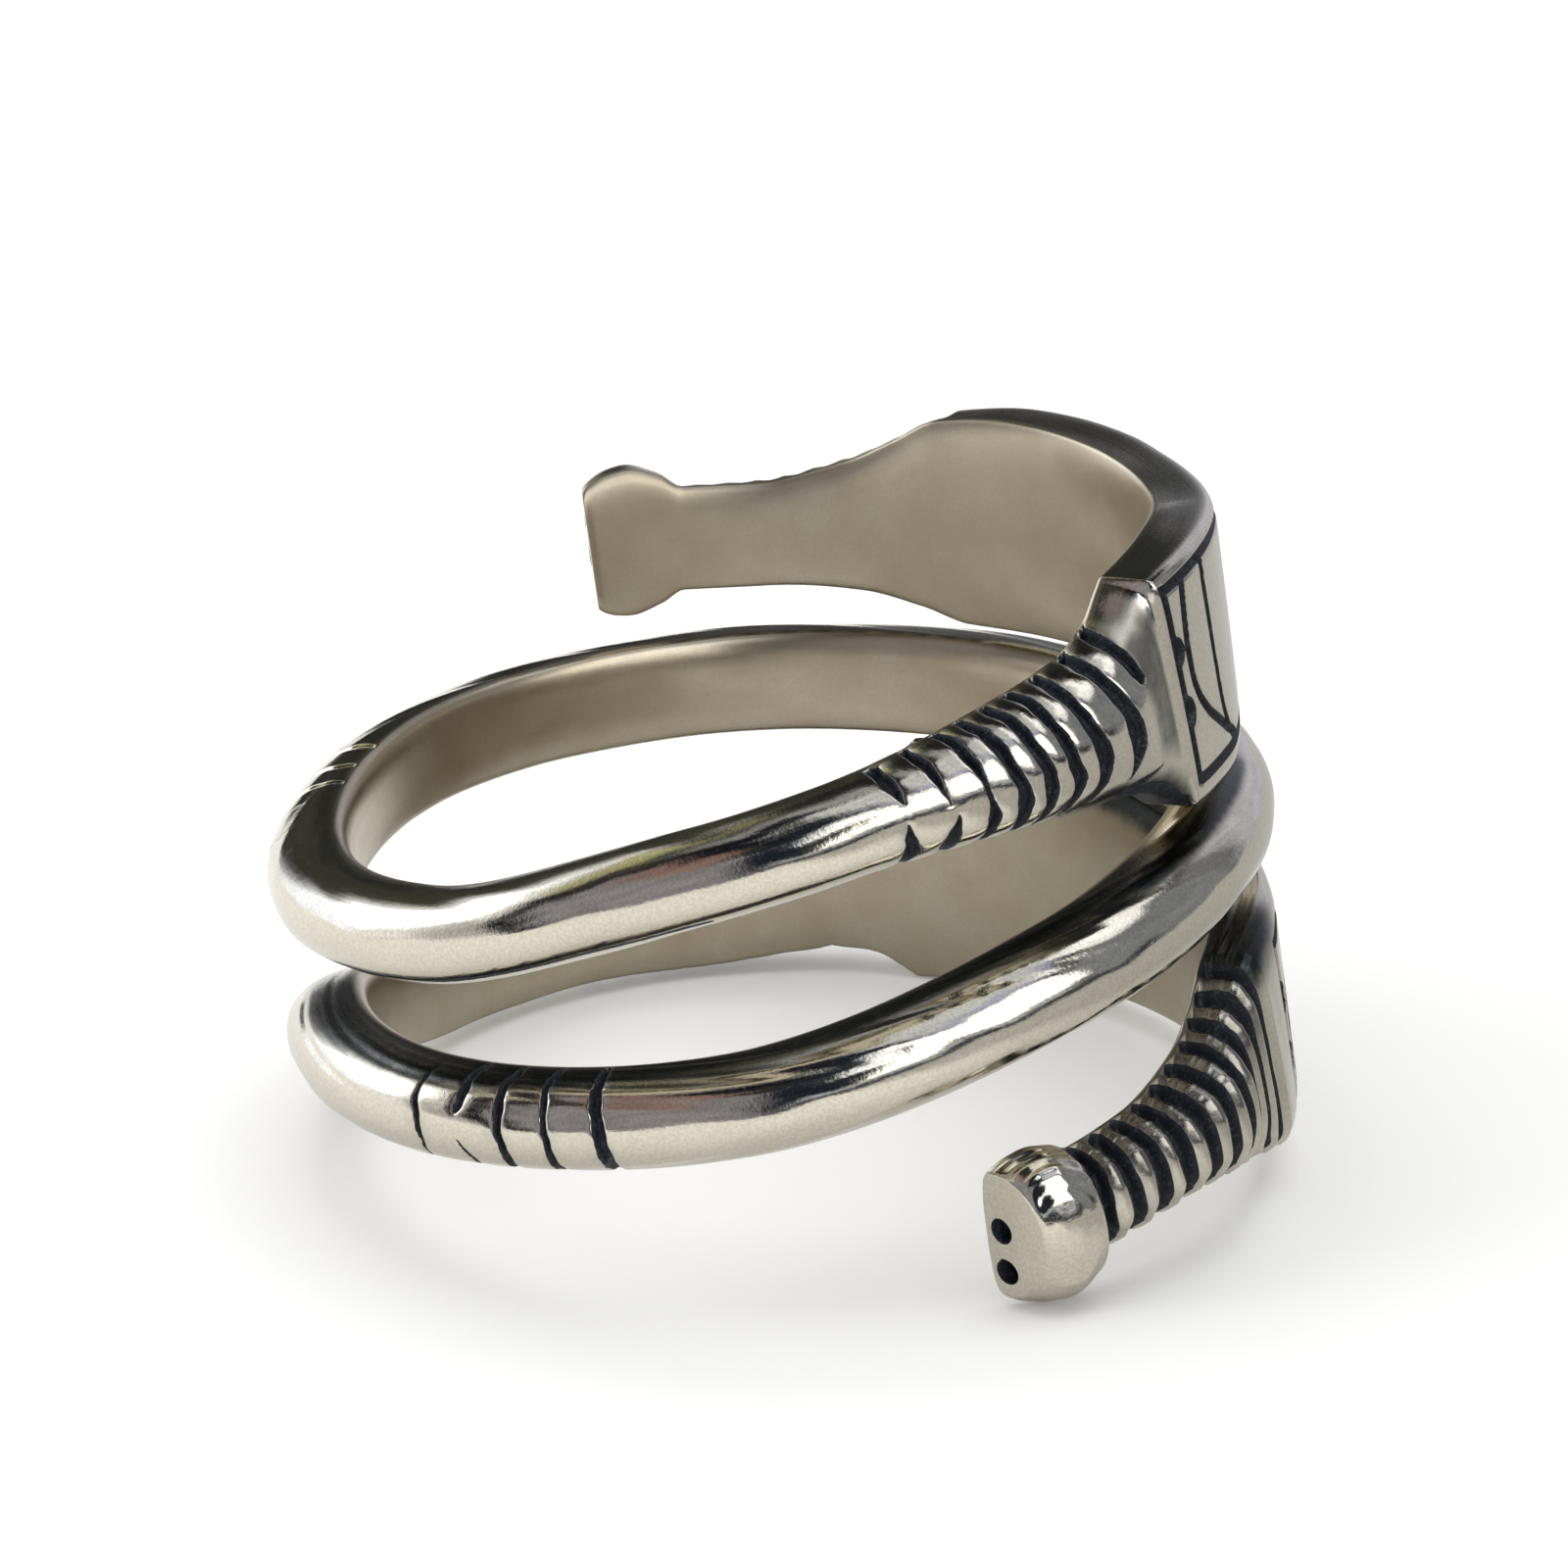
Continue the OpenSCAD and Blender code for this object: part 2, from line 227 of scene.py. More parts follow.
def radius(angle):
    """Distance of the mid line from the coil's axis: an oval with a slight taper."""
    share = (angle - MIDDLE_ANGLE) / (LAST_ANGLE - MIDDLE_ANGLE)
    oval = OVAL * np.cos(2 * np.radians(angle - OVAL_ANGLE))
    return FINGER_D / 2 + oval + TAPER * share + END_TUCK * share ** 2


def outward(angle):
    """Unit direction away from the coil's axis: the angle's cosine and negative sine."""
    turn = np.radians(angle)
    return np.stack([np.cos(turn), -np.sin(turn), 0 * turn], -1)


def on_line(angle):
    """The mid line of the rod: radius along the outward direction, height from its table."""
    point = outward(angle) * radius(angle)[..., None]
    point[..., 2] = look(HEIGHTS, 1, angle)
    return point


def unit(vectors):
    """Vectors divided by their own lengths."""
    return vectors / np.linalg.norm(vectors, axis=-1, keepdims=True)


def along(angle):
    """Unit direction of the mid line, from half a degree before to half a degree after."""
    return unit(on_line(angle + 0.5) - on_line(angle - 0.5))


def across(angle):
    """Unit direction across the rod: outward crossed with along."""
    return unit(np.cross(outward(angle), along(angle)))


def from_tip(angle):
    """Degrees from the nearer tip of the rod."""
    return np.minimum(angle - FIRST_ANGLE, LAST_ANGLE - angle)


def section(tip, turn):
    """A superellipse in polar form: for the direction turn the distance is the sum of the
    powers of cosine and sine, to the power -1/p. The flat inner face has its own power."""
    half = look(SECTIONS, 1, tip) / 2
    thick = look(SECTIONS, 2, tip)
    outer = np.sin(turn) >= 0
    power = np.where(outer, look(SECTIONS, 3, tip), BASE_POWER)
    base = BASE_SHARE * thick
    c, s = np.cos(turn), np.sin(turn)
    reach = (np.abs(c) ** power + np.abs(s) ** power) ** (-1 / power)
    x = half * c * reach
    y = base + np.where(outer, thick - base, base) * s * reach
    facing = np.sign(c) * np.abs(c * reach) ** (power / 2)
    return x, y, facing, half


def stroke_edge(stroke, tip, turned, mm_per_degree, number):
    """Distance in mm from the edge of a cut stroke, positive inside it: half the width that
    its rows give at this angle round the section, less the distance from its middle line.
    Slow sines make both waver."""
    points = np.array(stroke, float)
    ends = [(points[0, 0] - STROKE_END, points[0, 1], CLOSED),
            (points[-1, 0] + STROKE_END, points[-1, 1], CLOSED)]
    points = np.concatenate([ends[:1], points, ends[1:]])
    wobble = (0.07 * np.sin(0.13 * turned + 2.1 * number)
              + 0.03 * np.sin(0.31 * turned + 1.3 * number))
    middle = np.interp(turned, points[:, 0], points[:, 1]) + wobble
    waver = 1 + 0.05 * np.sin(0.2 * turned + number)
    width = np.interp(turned, points[:, 0], points[:, 2]) * waver
    return width / 2 - np.abs(tip - middle) * mm_per_degree


def stroke_marks(strokes, pillow, tip, turned, mm_per_degree):
    """Hand-cut strokes. The depth eases in from a stroke's edge, and beyond the edge it fades
    by two exponentials of the distance, a narrow lip and a wide pillow."""
    edge = np.full(tip.shape, OUTSIDE)
    for number, stroke in enumerate(strokes):
        edge = np.maximum(edge, stroke_edge(stroke, tip, turned, mm_per_degree, number))
    beyond = np.minimum(edge, 0)
    depth = (STROKE_DEPTH * smooth(0, STROKE_WALL, edge) + LIP * np.exp(beyond / 0.04)
             + pillow * np.exp(beyond / 0.12))
    return depth, smooth(-0.03, 0.01, edge), np.exp(beyond / 0.25)


def neck_marks(tip, turned, mm_per_degree):
    """The strokes of the neck, whose metal is rounded like pillows between them."""
    return stroke_marks(NECK_STROKES, NECK_PILLOW, tip, turned, mm_per_degree)


def rod_marks(tip, turned, mm_per_degree, kept):
    """The strokes across the plain rod, times the share of them that wear has kept."""
    return [kept * mark for mark in
            stroke_marks(ROD_STROKES, ROD_PILLOW, tip, turned, mm_per_degree)]


def throat_marks(tip, turned, mm_per_degree):
    """The cut rings of the throat. A ring's number is the nearest whole number of pitches,
    and its middle and width waver by sines. The rings fade out on the inner face."""
    number = np.clip(np.round((tip - THROAT_FIRST) / THROAT_PITCH), 0, THROAT_COUNT - 1)
    waver = 0.12 * np.sin(0.05 * turned + 2.3 * number)
    middle = THROAT_FIRST + THROAT_PITCH * number + waver
    open_share = within(turned, -20, 8, 158, 182)
    width = THROAT_WIDTH * open_share * (1 + 0.1 * np.sin(1.7 * number + 0.04 * turned))
    edge = width / 2 - np.abs(tip - middle) * mm_per_degree
    beyond = np.minimum(edge, 0)
    behind_snout = smooth(9.6, 10.8, tip)
    rounding = THROAT_PILLOW * open_share * np.exp(beyond / 0.15)
    depth = THROAT_DEPTH * smooth(0, THROAT_WALL, edge) * open_share + rounding * behind_snout
    oxide_and_shade = smooth(-0.03, 0.03, edge) * smooth(0, 0.3, open_share)
    return depth, oxide_and_shade, open_share * behind_snout * np.exp(beyond / 0.3)


def line_edge(curve, place, tip, mm_per_degree):
    """Distance from the edge of an engraved line that crosses the plate along a curve: half
    its width, less the distance along the rod over the root of one plus the slope squared."""
    step = 0.05
    rise = look(curve, 1, place + step) - look(curve, 1, place - step)
    slope = rise / (2 * step) * mm_per_degree
    away = np.abs(tip - look(curve, 1, place)) * mm_per_degree
    return LINE_WIDTH / 2 - away / np.sqrt(1 + slope ** 2)


def plate_edge(tip, place, half, mm_per_degree):
    """Distance from the edge of the plate's engraved lines, positive inside one: the greatest
    of the distances for its side lines, cross line, arcs and half rounds. The far end of the
    plate carries the same lines, mirrored and drawn together."""
    mirrored = PLATE_MIDDLE + (PLATE_MIDDLE - tip) * FAR_END_SCALE
    tip = np.where(tip < PLATE_MIDDLE, mirrored, tip)
    side = half - np.where(place > 0, *BORDER_INSETS)
    height = (PLATE_END - tip) * mm_per_degree
    field = smooth(0, 0.01, side - np.abs(place)) * smooth(0, 0.01, height) > 0.5
    edge = LINE_WIDTH / 2 - np.abs(np.abs(place) - side)
    edge = np.where(tip > PLATE_END, OUTSIDE, edge)
    cross = LINE_WIDTH / 2 - np.abs(tip - PLATE_END) * mm_per_degree
    edge = np.maximum(edge, np.where(np.abs(place) < side + LINE_WIDTH / 2, cross, OUTSIDE))
    for curve in (OUTER_ARC, INNER_ARC):
        arc = line_edge(curve, place, tip, mm_per_degree)
        edge = np.maximum(edge, np.where(field, arc, OUTSIDE))
    for middle, half_width in PUNCHES:
        away = np.hypot((place - middle) / half_width, height / PUNCH_HEIGHT)
        edge = np.maximum(edge, np.where(height > 0, PUNCH_SLOPE * (1 - away), OUTSIDE))
    return edge


def plate_marks(tip, turned, mm_per_degree, place, half):
    """The engraved lines of the plate, on its outer face alone."""
    edge = plate_edge(tip, place, half, mm_per_degree)
    edge = np.where(np.sin(np.radians(turned)) > 0.2, edge, OUTSIDE)
    depth = LINE_DEPTH * smooth(0, LINE_WALL, edge)
    return depth, smooth(-0.025, 0.01, edge), np.exp(np.minimum(edge, 0) / 0.15)


def cuts(tip, turned, mm_per_degree, place, half, kept):
    """Depth of the cuts in mm, how much oxide is left at each place, and how worn it is. Each
    kind of cut is worked out on the grid's rows that it reaches. Depths are added, and of the
    other two the greater counts."""
    spot = (tip, turned, mm_per_degree)
    depth, oxide_and_shade, worn = np.zeros((3, *tip.shape))
    for (low, high), marks, grids in ((NECK_CUTS, neck_marks, spot),
                                      (ROD_CUTS, rod_marks, (*spot, kept)),
                                      (THROAT_CUTS, throat_marks, spot),
                                      (PLATE_CUTS, plate_marks, (*spot, place, half))):
        reached = np.where(((tip > low) & (tip < high)).any(axis=1))[0]
        if len(reached):
            here = slice(reached[0], reached[-1] + 1)
            cut, black, rubbed = marks(*(grid[here] for grid in grids))
            depth[here] += cut
            oxide_and_shade[here] = np.maximum(oxide_and_shade[here], black)
            worn[here] = np.maximum(worn[here], rubbed)
    return depth, oxide_and_shade, worn


def films_and_shade(tip, turned, lower):
    """Where the colour is darkened, each place a product of eases along the rod and round it.
    Below the neck, on the plate's narrow side and on the turns that lie close to each other it
    is painted shade and dark reflection. In the hollow of the flare it is partly the flare's own
    patina and partly a painted dark reflection. On the inner side of the throat and, on the
    lower head, where the plate starts, it is a dark film that stays because no finger or cloth
    gets there. The next values are the painted black shade in the corner of neck and plate, the
    distance in degrees from the painted dark line along the rod, and the hollow of the flare."""
    # Partly the flare's own patina, partly a painted dark reflection in its hollow
    flare = within(tip, 142.2, 143.6, 148, 153) * within(turned, 50, 74, 160, 172)
    # Painted shade below the neck
    below_neck_shade = within(turned, -34, -8, 38, 62) * within(tip, 140.8, 142, 154, 176)
    # Painted black shade in the corner of neck and plate, which joins the oxide
    corner = within(turned, -34, -8, 32, 50) * within(tip, 140.8, 142, 148, 164)
    # Painted shade on the plate's narrow side
    side = within(turned, -58, -38, 6, 22) * within(tip, 80, 91, 108, 124)
    # Painted shade and dark reflection on the lower turn below the neck
    gap_shade = within(turned, 12, 24, 34, 48) * within(tip, 374, 388, 420, 430)
    # Painted shade and dark reflection where the turns lie close to each other
    high = 52 - 18 * smooth(290, 330, tip)
    between = within(turned, -20, 0, high - 22, high) * within(tip, 228, 258, 386, 402)
    throat = within(tip, 9.8, 10.6, 44, 49) * within(turned, -40, -10, 52, 112)
    start = lower * within(tip, 42, 47, 56, 66) * within(turned, -30, -8, 40, 66)
    film_and_shade = np.maximum.reduce([0.6 * flare * smooth(148, 136, turned), below_neck_shade, 0.97 * side,
                              0.99 * gap_shade, 0.95 * between, 0.55 * throat, start])
    # The distance from the fine dark line along the rod, a painted dark reflection along its edge
    from_line = np.abs(turned - FINE_LINE - 1.5 * np.sin(0.09 * tip))
    line = np.minimum(from_line, 30) + FAR * (1 - within(tip, 199, 206, 240, 252))
    return film_and_shade, corner, line, flare


def unevenness(length, turn):
    """Slight waves of the hand-made rod in mm: sines of the length along it and of the
    direction round its section, slow ones and quick ones."""
    slow = 0.016 * np.sin(0.45 * length + turn) + 0.009 * np.sin(1.13 * length + 2 * turn + 1)
    quick = 0.006 * np.sin(1.9 * length - 2 * turn) + 0.003 * np.sin(3.1 * length - 3 * turn + 1)
    return slow + quick


def beside_change(values):
    """Change from the column before to the column after, round the section."""
    return np.roll(values, -1, axis=1) - np.roll(values, 1, axis=1)


def surface(angles, turns):
    """The rod's surface on a grid. A row is an angle round the coil, a column a direction
    round the section. The point is the mid line, plus the section's two coordinates along
    the rod's across and outward directions, less the inset, the unevenness and the depth of
    the cuts along the section's normal. Cross lines are moved along the coil by their bow,
    skew and slant."""
    angle = angles[:, None] + 0 * turns
    turn = turns[None] + 0 * angle
    tip = from_tip(angle)
    upper = angle < MIDDLE_ANGLE
    way = np.where(upper, 1, -1)
    x, y, facing, half = section(tip, turn)
    facing = facing * way
    degrees = np.degrees(turn)
    turned = np.where(upper, degrees, 180 - degrees)
    turned = np.where(turned > 270, turned - 360, turned)
    turned = np.where(turned < -90, turned + 360, turned)
    bow = look(BOWS, 1, tip) * (1 - facing ** 2) * (1 + BOW_LEAN * facing)
    bow = np.where(np.sin(turn) >= 0, bow, 0)
    skew = look(BOWS, 2, tip) * way * x / half
    slant = look(BOWS, 3, tip) * (SLANT_PIVOT - y / SNOUT_T)
    moved = angle - way * (bow + skew + slant)
    mm_per_degree = (radius(moved) + y) * np.pi / 180
    normal = unit(np.stack([beside_change(y), -beside_change(x)], -1))
    kept = np.where(upper, FAINT, 1.0)
    depth, oxide_and_shade, worn = cuts(tip, turned, mm_per_degree, way * x, half, kept)
    hand = unevenness(angle * mm_per_degree, turn)
    outer_share = 0.3 + 0.7 * smooth(-0.2, 0.3, np.sin(turn))
    depth = depth + (INSET + hand * outer_share) * smooth(0, 1.2, tip)
    x = x - depth * normal[..., 0]
    y = y - depth * normal[..., 1]
    point = on_line(moved) + across(moved) * x[..., None] + outward(moved) * y[..., None]
    film_and_shade, corner, line, flare = films_and_shade(tip, turned, np.where(upper, 0.0, 1.0))
    satin = np.where(upper, np.maximum(flare, 0.4 * smooth(110, 60, tip)), flare)
    # The oxide mask also holds the painted black shade in the corner of neck and plate; the film
    # mask holds painted shade as well as real film
    masks = {"oxide_and_shade": np.maximum(oxide_and_shade, corner), "worn": worn,
             "inner": smooth(0.15, -0.1, np.sin(turn)),
             "shade_and_film": film_and_shade, "line": line, "satin": satin}
    return point, masks


def leaned(point):
    """The ring as it lies: turned by its lean about a level axis, then set on the floor."""
    axis = np.array([np.sin(LEAN_ANGLE), np.cos(LEAN_ANGLE), 0])
    dot = (point @ axis)[..., None]
    turned = point * np.cos(LEAN) + np.cross(axis, point) * np.sin(LEAN)
    return turned + dot * axis * (1 - np.cos(LEAN)) - SEAT


def snout_cap(angle, rim_turns, rings):
    """The flat end of the snout as rings that shrink from its rim to its middle. A ring's
    share runs from 1 to 0, the face bulges by a parabola of it, and the two holes are
    pushed in along the rod where a place is closer to a hole's middle than its radius."""
    way = 1 if angle < MIDDLE_ANGLE else -1
    tip = from_tip(np.array([[angle]])) + 0 * rim_turns
    x, y, _, _ = section(tip, rim_turns[None])
    middle_y = 0.5 * SNOUT_T
    share = np.linspace(1, 0, rings + 1, endpoint=False)[:, None]
    x = x * share
    y = middle_y + (y - middle_y) * share
    slant = look(BOWS, 3, 0 * tip) * (SLANT_PIVOT - y / SNOUT_T)
    hole = 0 * x + OUTSIDE
    for side in (-1, 1):
        across_hole = x - (side * NOSTRIL_GAP / 2 - way * NOSTRIL_SHIFT)
        away = np.hypot(across_hole, (y - NOSTRIL_RISE) / NOSTRIL_STRETCH)
        hole = np.maximum(hole, NOSTRIL_D / 2 - away)
    moved = angle - way * slant
    point = on_line(moved) + across(moved) * x[..., None] + outward(moved) * y[..., None]
    push = SNOUT_BULGE * (1 - share ** 2) - NOSTRIL_DEPTH * smooth(0, NOSTRIL_WALL, hole)
    point = point - way * along(moved) * push[..., None]
    planar = np.stack([x, y], -1)
    return point, smooth(-0.02, 0.01, hole), planar


def rows(*stretches):
    """Places along the rod: each stretch is its start, its end and the step in mm."""
    parts = []
    for start, end, step in stretches:
        count = max(2, int(np.ceil((end - start) * MM_PER_DEGREE / step)))
        parts.append(np.linspace(start, end, count, endpoint=False))
    return np.concatenate(parts + [[stretches[-1][1]]])


def columns(outer, inner):
    """Directions round the section, closer together on the outer face."""
    top = np.linspace(0, np.pi, outer, endpoint=False)
    return np.concatenate([top, np.linspace(np.pi, 2 * np.pi, inner, endpoint=False)])


def strips(index, uv):
    """Faces between the rows of a closed grid, and the place of each corner along the rod.
    uv has one column more than the grid, for the far side of the join round the section."""
    beside = np.roll(index, -1, axis=1)
    faces = np.stack([index[:-1], beside[:-1], beside[1:], index[1:]], -1)
    near, far = uv[:, :-1], uv[:, 1:]
    corners = np.stack([near[:-1], far[:-1], far[1:], near[1:]], 2)
    return faces.reshape(-1, 4), corners.reshape(-1, 2)


def new_mesh(name, points, faces, fans, corners):
    """A smooth mesh of four-sided faces and of the triangles of its fans, with the place of
    each face's corners in the map "along"."""
    mesh = bpy.data.meshes.new(name)
    mesh.vertices.add(len(points))
    mesh.vertices.foreach_set("co", points.ravel())
    loops = np.concatenate([faces.ravel(), fans.ravel()]).astype(np.int32)
    starts = np.concatenate([4 * np.arange(len(faces)),
                             4 * len(faces) + 3 * np.arange(len(fans))])
    mesh.loops.add(len(loops))
    mesh.loops.foreach_set("vertex_index", loops)
    mesh.polygons.add(len(starts))
    mesh.polygons.foreach_set("loop_start", starts.astype(np.int32))
    mesh.polygons.foreach_set("use_smooth", np.ones(len(starts), bool))
    mesh.update(calc_edges=True)
    mesh.validate()
    corners = np.concatenate([corners, np.zeros((len(fans) * 3, 2))])
    mesh.uv_layers.new(name="along").data.foreach_set("uv", corners.ravel().astype(np.float32))
    return mesh


def sharpen(mesh, spans):
    """Sharp edges round the flat ends: those whose two points are both in one span of point
    numbers."""
    pairs = np.zeros(len(mesh.edges) * 2, np.int32)
    mesh.edges.foreach_get("vertices", pairs)
    pairs = pairs.reshape(-1, 2)
    sharp = np.zeros(len(pairs), bool)
    for low, high in spans:
        sharp |= ((pairs >= low) & (pairs < high)).all(axis=1)
    mesh.attributes.new("sharp_edge", "BOOLEAN", "EDGE").data.foreach_set("value", sharp)


def linked(name, data):
    """An object of this mesh, lamp or camera, linked into the scene."""
    obj = bpy.data.objects.new(name, data)
    bpy.context.scene.collection.objects.link(obj)
    return obj


def piece(name, angles, turns, finish, cap_rings=0):
    """A closed mesh from a grid of rows and columns whose two ends meet in a point.
    cap_rings adds the rings of the snout's face to the end that is a tip of the rod. Any
    other end is a flat fan, hidden where two pieces of the rod meet."""
    grid, masks = surface(angles, turns)
    round_map = np.linspace(0, ROUND_MAP, len(turns) + 1)
    along_map = np.broadcast_arrays(angles[:, None] * MM_PER_DEGREE, round_map)
    along_map = np.stack(along_map, -1)
    first, count = 0, len(angles)
    at_start = from_tip(angles[0]) < AT_TIP
    if cap_rings:
        face, hole, planar = snout_cap(angles[0] if at_start else angles[-1], turns, cap_rings)

        def join(rod, rings):
            """The rod's rows and the rings beyond its tip, in order."""
            return np.concatenate([rings[::-1], rod] if at_start else [rod, rings])

        grid = join(grid, face[1:])
        masks = {key: join(rod, hole[1:] * (key == "oxide_and_shade") + FAR * (key == "line"))
                 for key, rod in masks.items()}
        first = cap_rings if at_start else 0
    n, m = grid.shape[:2]
    index = np.arange(n * m).reshape(n, m)
    faces, corners = strips(index[first:first + count], along_map)
    if cap_rings:
        face_index = index[:first + 1] if at_start else index[count - 1:]
        face_map = np.concatenate([planar, planar[:, :1]], 1)
        face_part = strips(face_index, face_map[::-1] if at_start else face_map)
        faces, corners = (np.concatenate(both) for both in zip((faces, corners), face_part))
    poles = grid[[0, -1]].mean(axis=1)
    beside = np.roll(index, -1, axis=1)
    fans = np.concatenate([np.stack([0 * index[0] + n * m, beside[0], index[0]], -1),
                           np.stack([index[-1], beside[-1], 0 * index[0] + n * m + 1], -1)])
    points = leaned(np.concatenate([grid.reshape(-1, 3), poles])) * MM
    mesh = new_mesh(name, points, faces, fans, corners)
    for key, values in masks.items():
        at_poles = values[[0, -1]].mean(axis=1)
        values = np.concatenate([values.ravel(), at_poles]).astype(np.float32)
        mesh.attributes.new(key, "FLOAT", "POINT").data.foreach_set("value", values)
    ends = ((0, angles[0]), (n - 1, angles[-1]))
    sharpen(mesh, [(row * m, row * m + m) for row, angle in ends if from_tip(angle) > AT_TIP])
    mesh.materials.append(finish)
    obj = linked(name, mesh)
    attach(obj, "root")
    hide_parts("ring")


def add_node(tree, kind, settings=None, **sockets):
    """A node of this type, with its settings set first and then its sockets' values or links.
    A socket goes by its name with underscores for spaces, or by an underscore and its
    number."""
    node = tree.nodes.new(kind)
    for key, value in (settings or {}).items():
        setattr(node, key, value)
    for key, value in sockets.items():
        socket = node.inputs[int(key[1:]) if key[0] == "_" else key.replace("_", " ")]
        if isinstance(value, Value):
            tree.links.new(value.socket, socket)
        else:
            socket.default_value = value
    return node


class Value:
    """A number in a node tree. Sums, differences, products and the absolute value of it add
    the nodes that they need."""

    def __init__(self, tree, socket):
        self.tree = tree
        self.socket = socket

    def math(self, operation, *others):
        """Another Math operation on this number and others."""
        sockets = {f"_{i}": value for i, value in enumerate((self, *others))}
        node = add_node(self.tree, "ShaderNodeMath", {"operation": operation}, **sockets)
        return Value(self.tree, node.outputs[0])

    def __add__(self, other):
        return self.math("ADD", other)

    __radd__ = __add__

    def __sub__(self, other):
        return self.math("SUBTRACT", other)

    def __rsub__(self, other):
        return self * -1 + other

    def __mul__(self, other):
        return self.math("MULTIPLY", other)

    __rmul__ = __mul__

    def __abs__(self):
        return self.math("ABSOLUTE")

    def ease(self, low, high):
        """Zero below low, one above high, and a smooth step between."""
        node = add_node(self.tree, "ShaderNodeMapRange", {"interpolation_type": "SMOOTHSTEP"},
                        Value=self, From_Min=low, From_Max=high)
        return Value(self.tree, node.outputs["Result"])


class Finish:
    """The node tree of a material or of the world."""

    def __init__(self, tree):
        self.tree = tree
        tree.nodes.clear()

    def node(self, kind, settings=None, **sockets):
        """A node of this tree."""
        return add_node(self.tree, kind, settings, **sockets)

    def out(self, node, name=0):
        """An output of a node, by its name or number."""
        return Value(self.tree, node.outputs[name])

    def noise(self, at, scale, detail, rough=0.55):
        """Cloudy noise from 0 to 1, with this many waves per metre or unit of a map."""
        return self.out(self.node("ShaderNodeTexNoise", Vector=at, Scale=scale, Detail=detail,
                                  Roughness=rough), "Fac")

    def stretched(self, at, scale, turn=0.0):
        """A place scaled along its first two directions, after a turn."""
        return self.out(self.node("ShaderNodeMapping", Vector=at, Scale=(*scale, 1),
                                  Rotation=(0, 0, turn)))

    def mix(self, factor, first, second):
        """Colour between the first and the second."""
        return self.out(self.node("ShaderNodeMix", {"data_type": "RGBA"}, _0=factor,
                                  _6=first, _7=second), 2)

    def attribute(self, name):
        """A value that each point of the piece carries under this name."""
        return self.out(self.node("ShaderNodeAttribute", {"attribute_name": name}), "Fac")

    def surface(self, shader, kind="ShaderNodeOutputMaterial"):
        """Makes this shader the one that the tree puts out."""
        self.node(kind, Surface=self.out(shader))


def material(name):
    """A new material, and its node tree to be filled."""
    made = bpy.data.materials.new(name)
    made.use_nodes = True
    return made, Finish(made.node_tree)


def grey(level):
    """A colour of one level."""
    return level, level, level, 1


WHITE = grey(1)
SILVER_DULL, SILVER_BRIGHT = (0.585, 0.54, 0.45, 1), (0.68, 0.635, 0.535, 1)
# The second colour is painted shade: the inner faces darker and warmer, for the dim light that
# bounces inside the ring
STAINED, INNER_SHADE = (0.43, 0.405, 0.34, 1), (0.42, 0.355, 0.25, 1)
# A dark film which, besides real film, paints shade and dark reflections where parts lie close
DARK_FILM_AND_SHADE = (0.035, 0.041, 0.041, 1)
# The black and blue of oxide, also used for painted black shade and a painted dark line
OXIDE_AND_SHADE_BLACK, OXIDE_AND_SHADE_BLUE = (0.0075, 0.011, 0.019, 1), (0.045, 0.06, 0.075, 1)


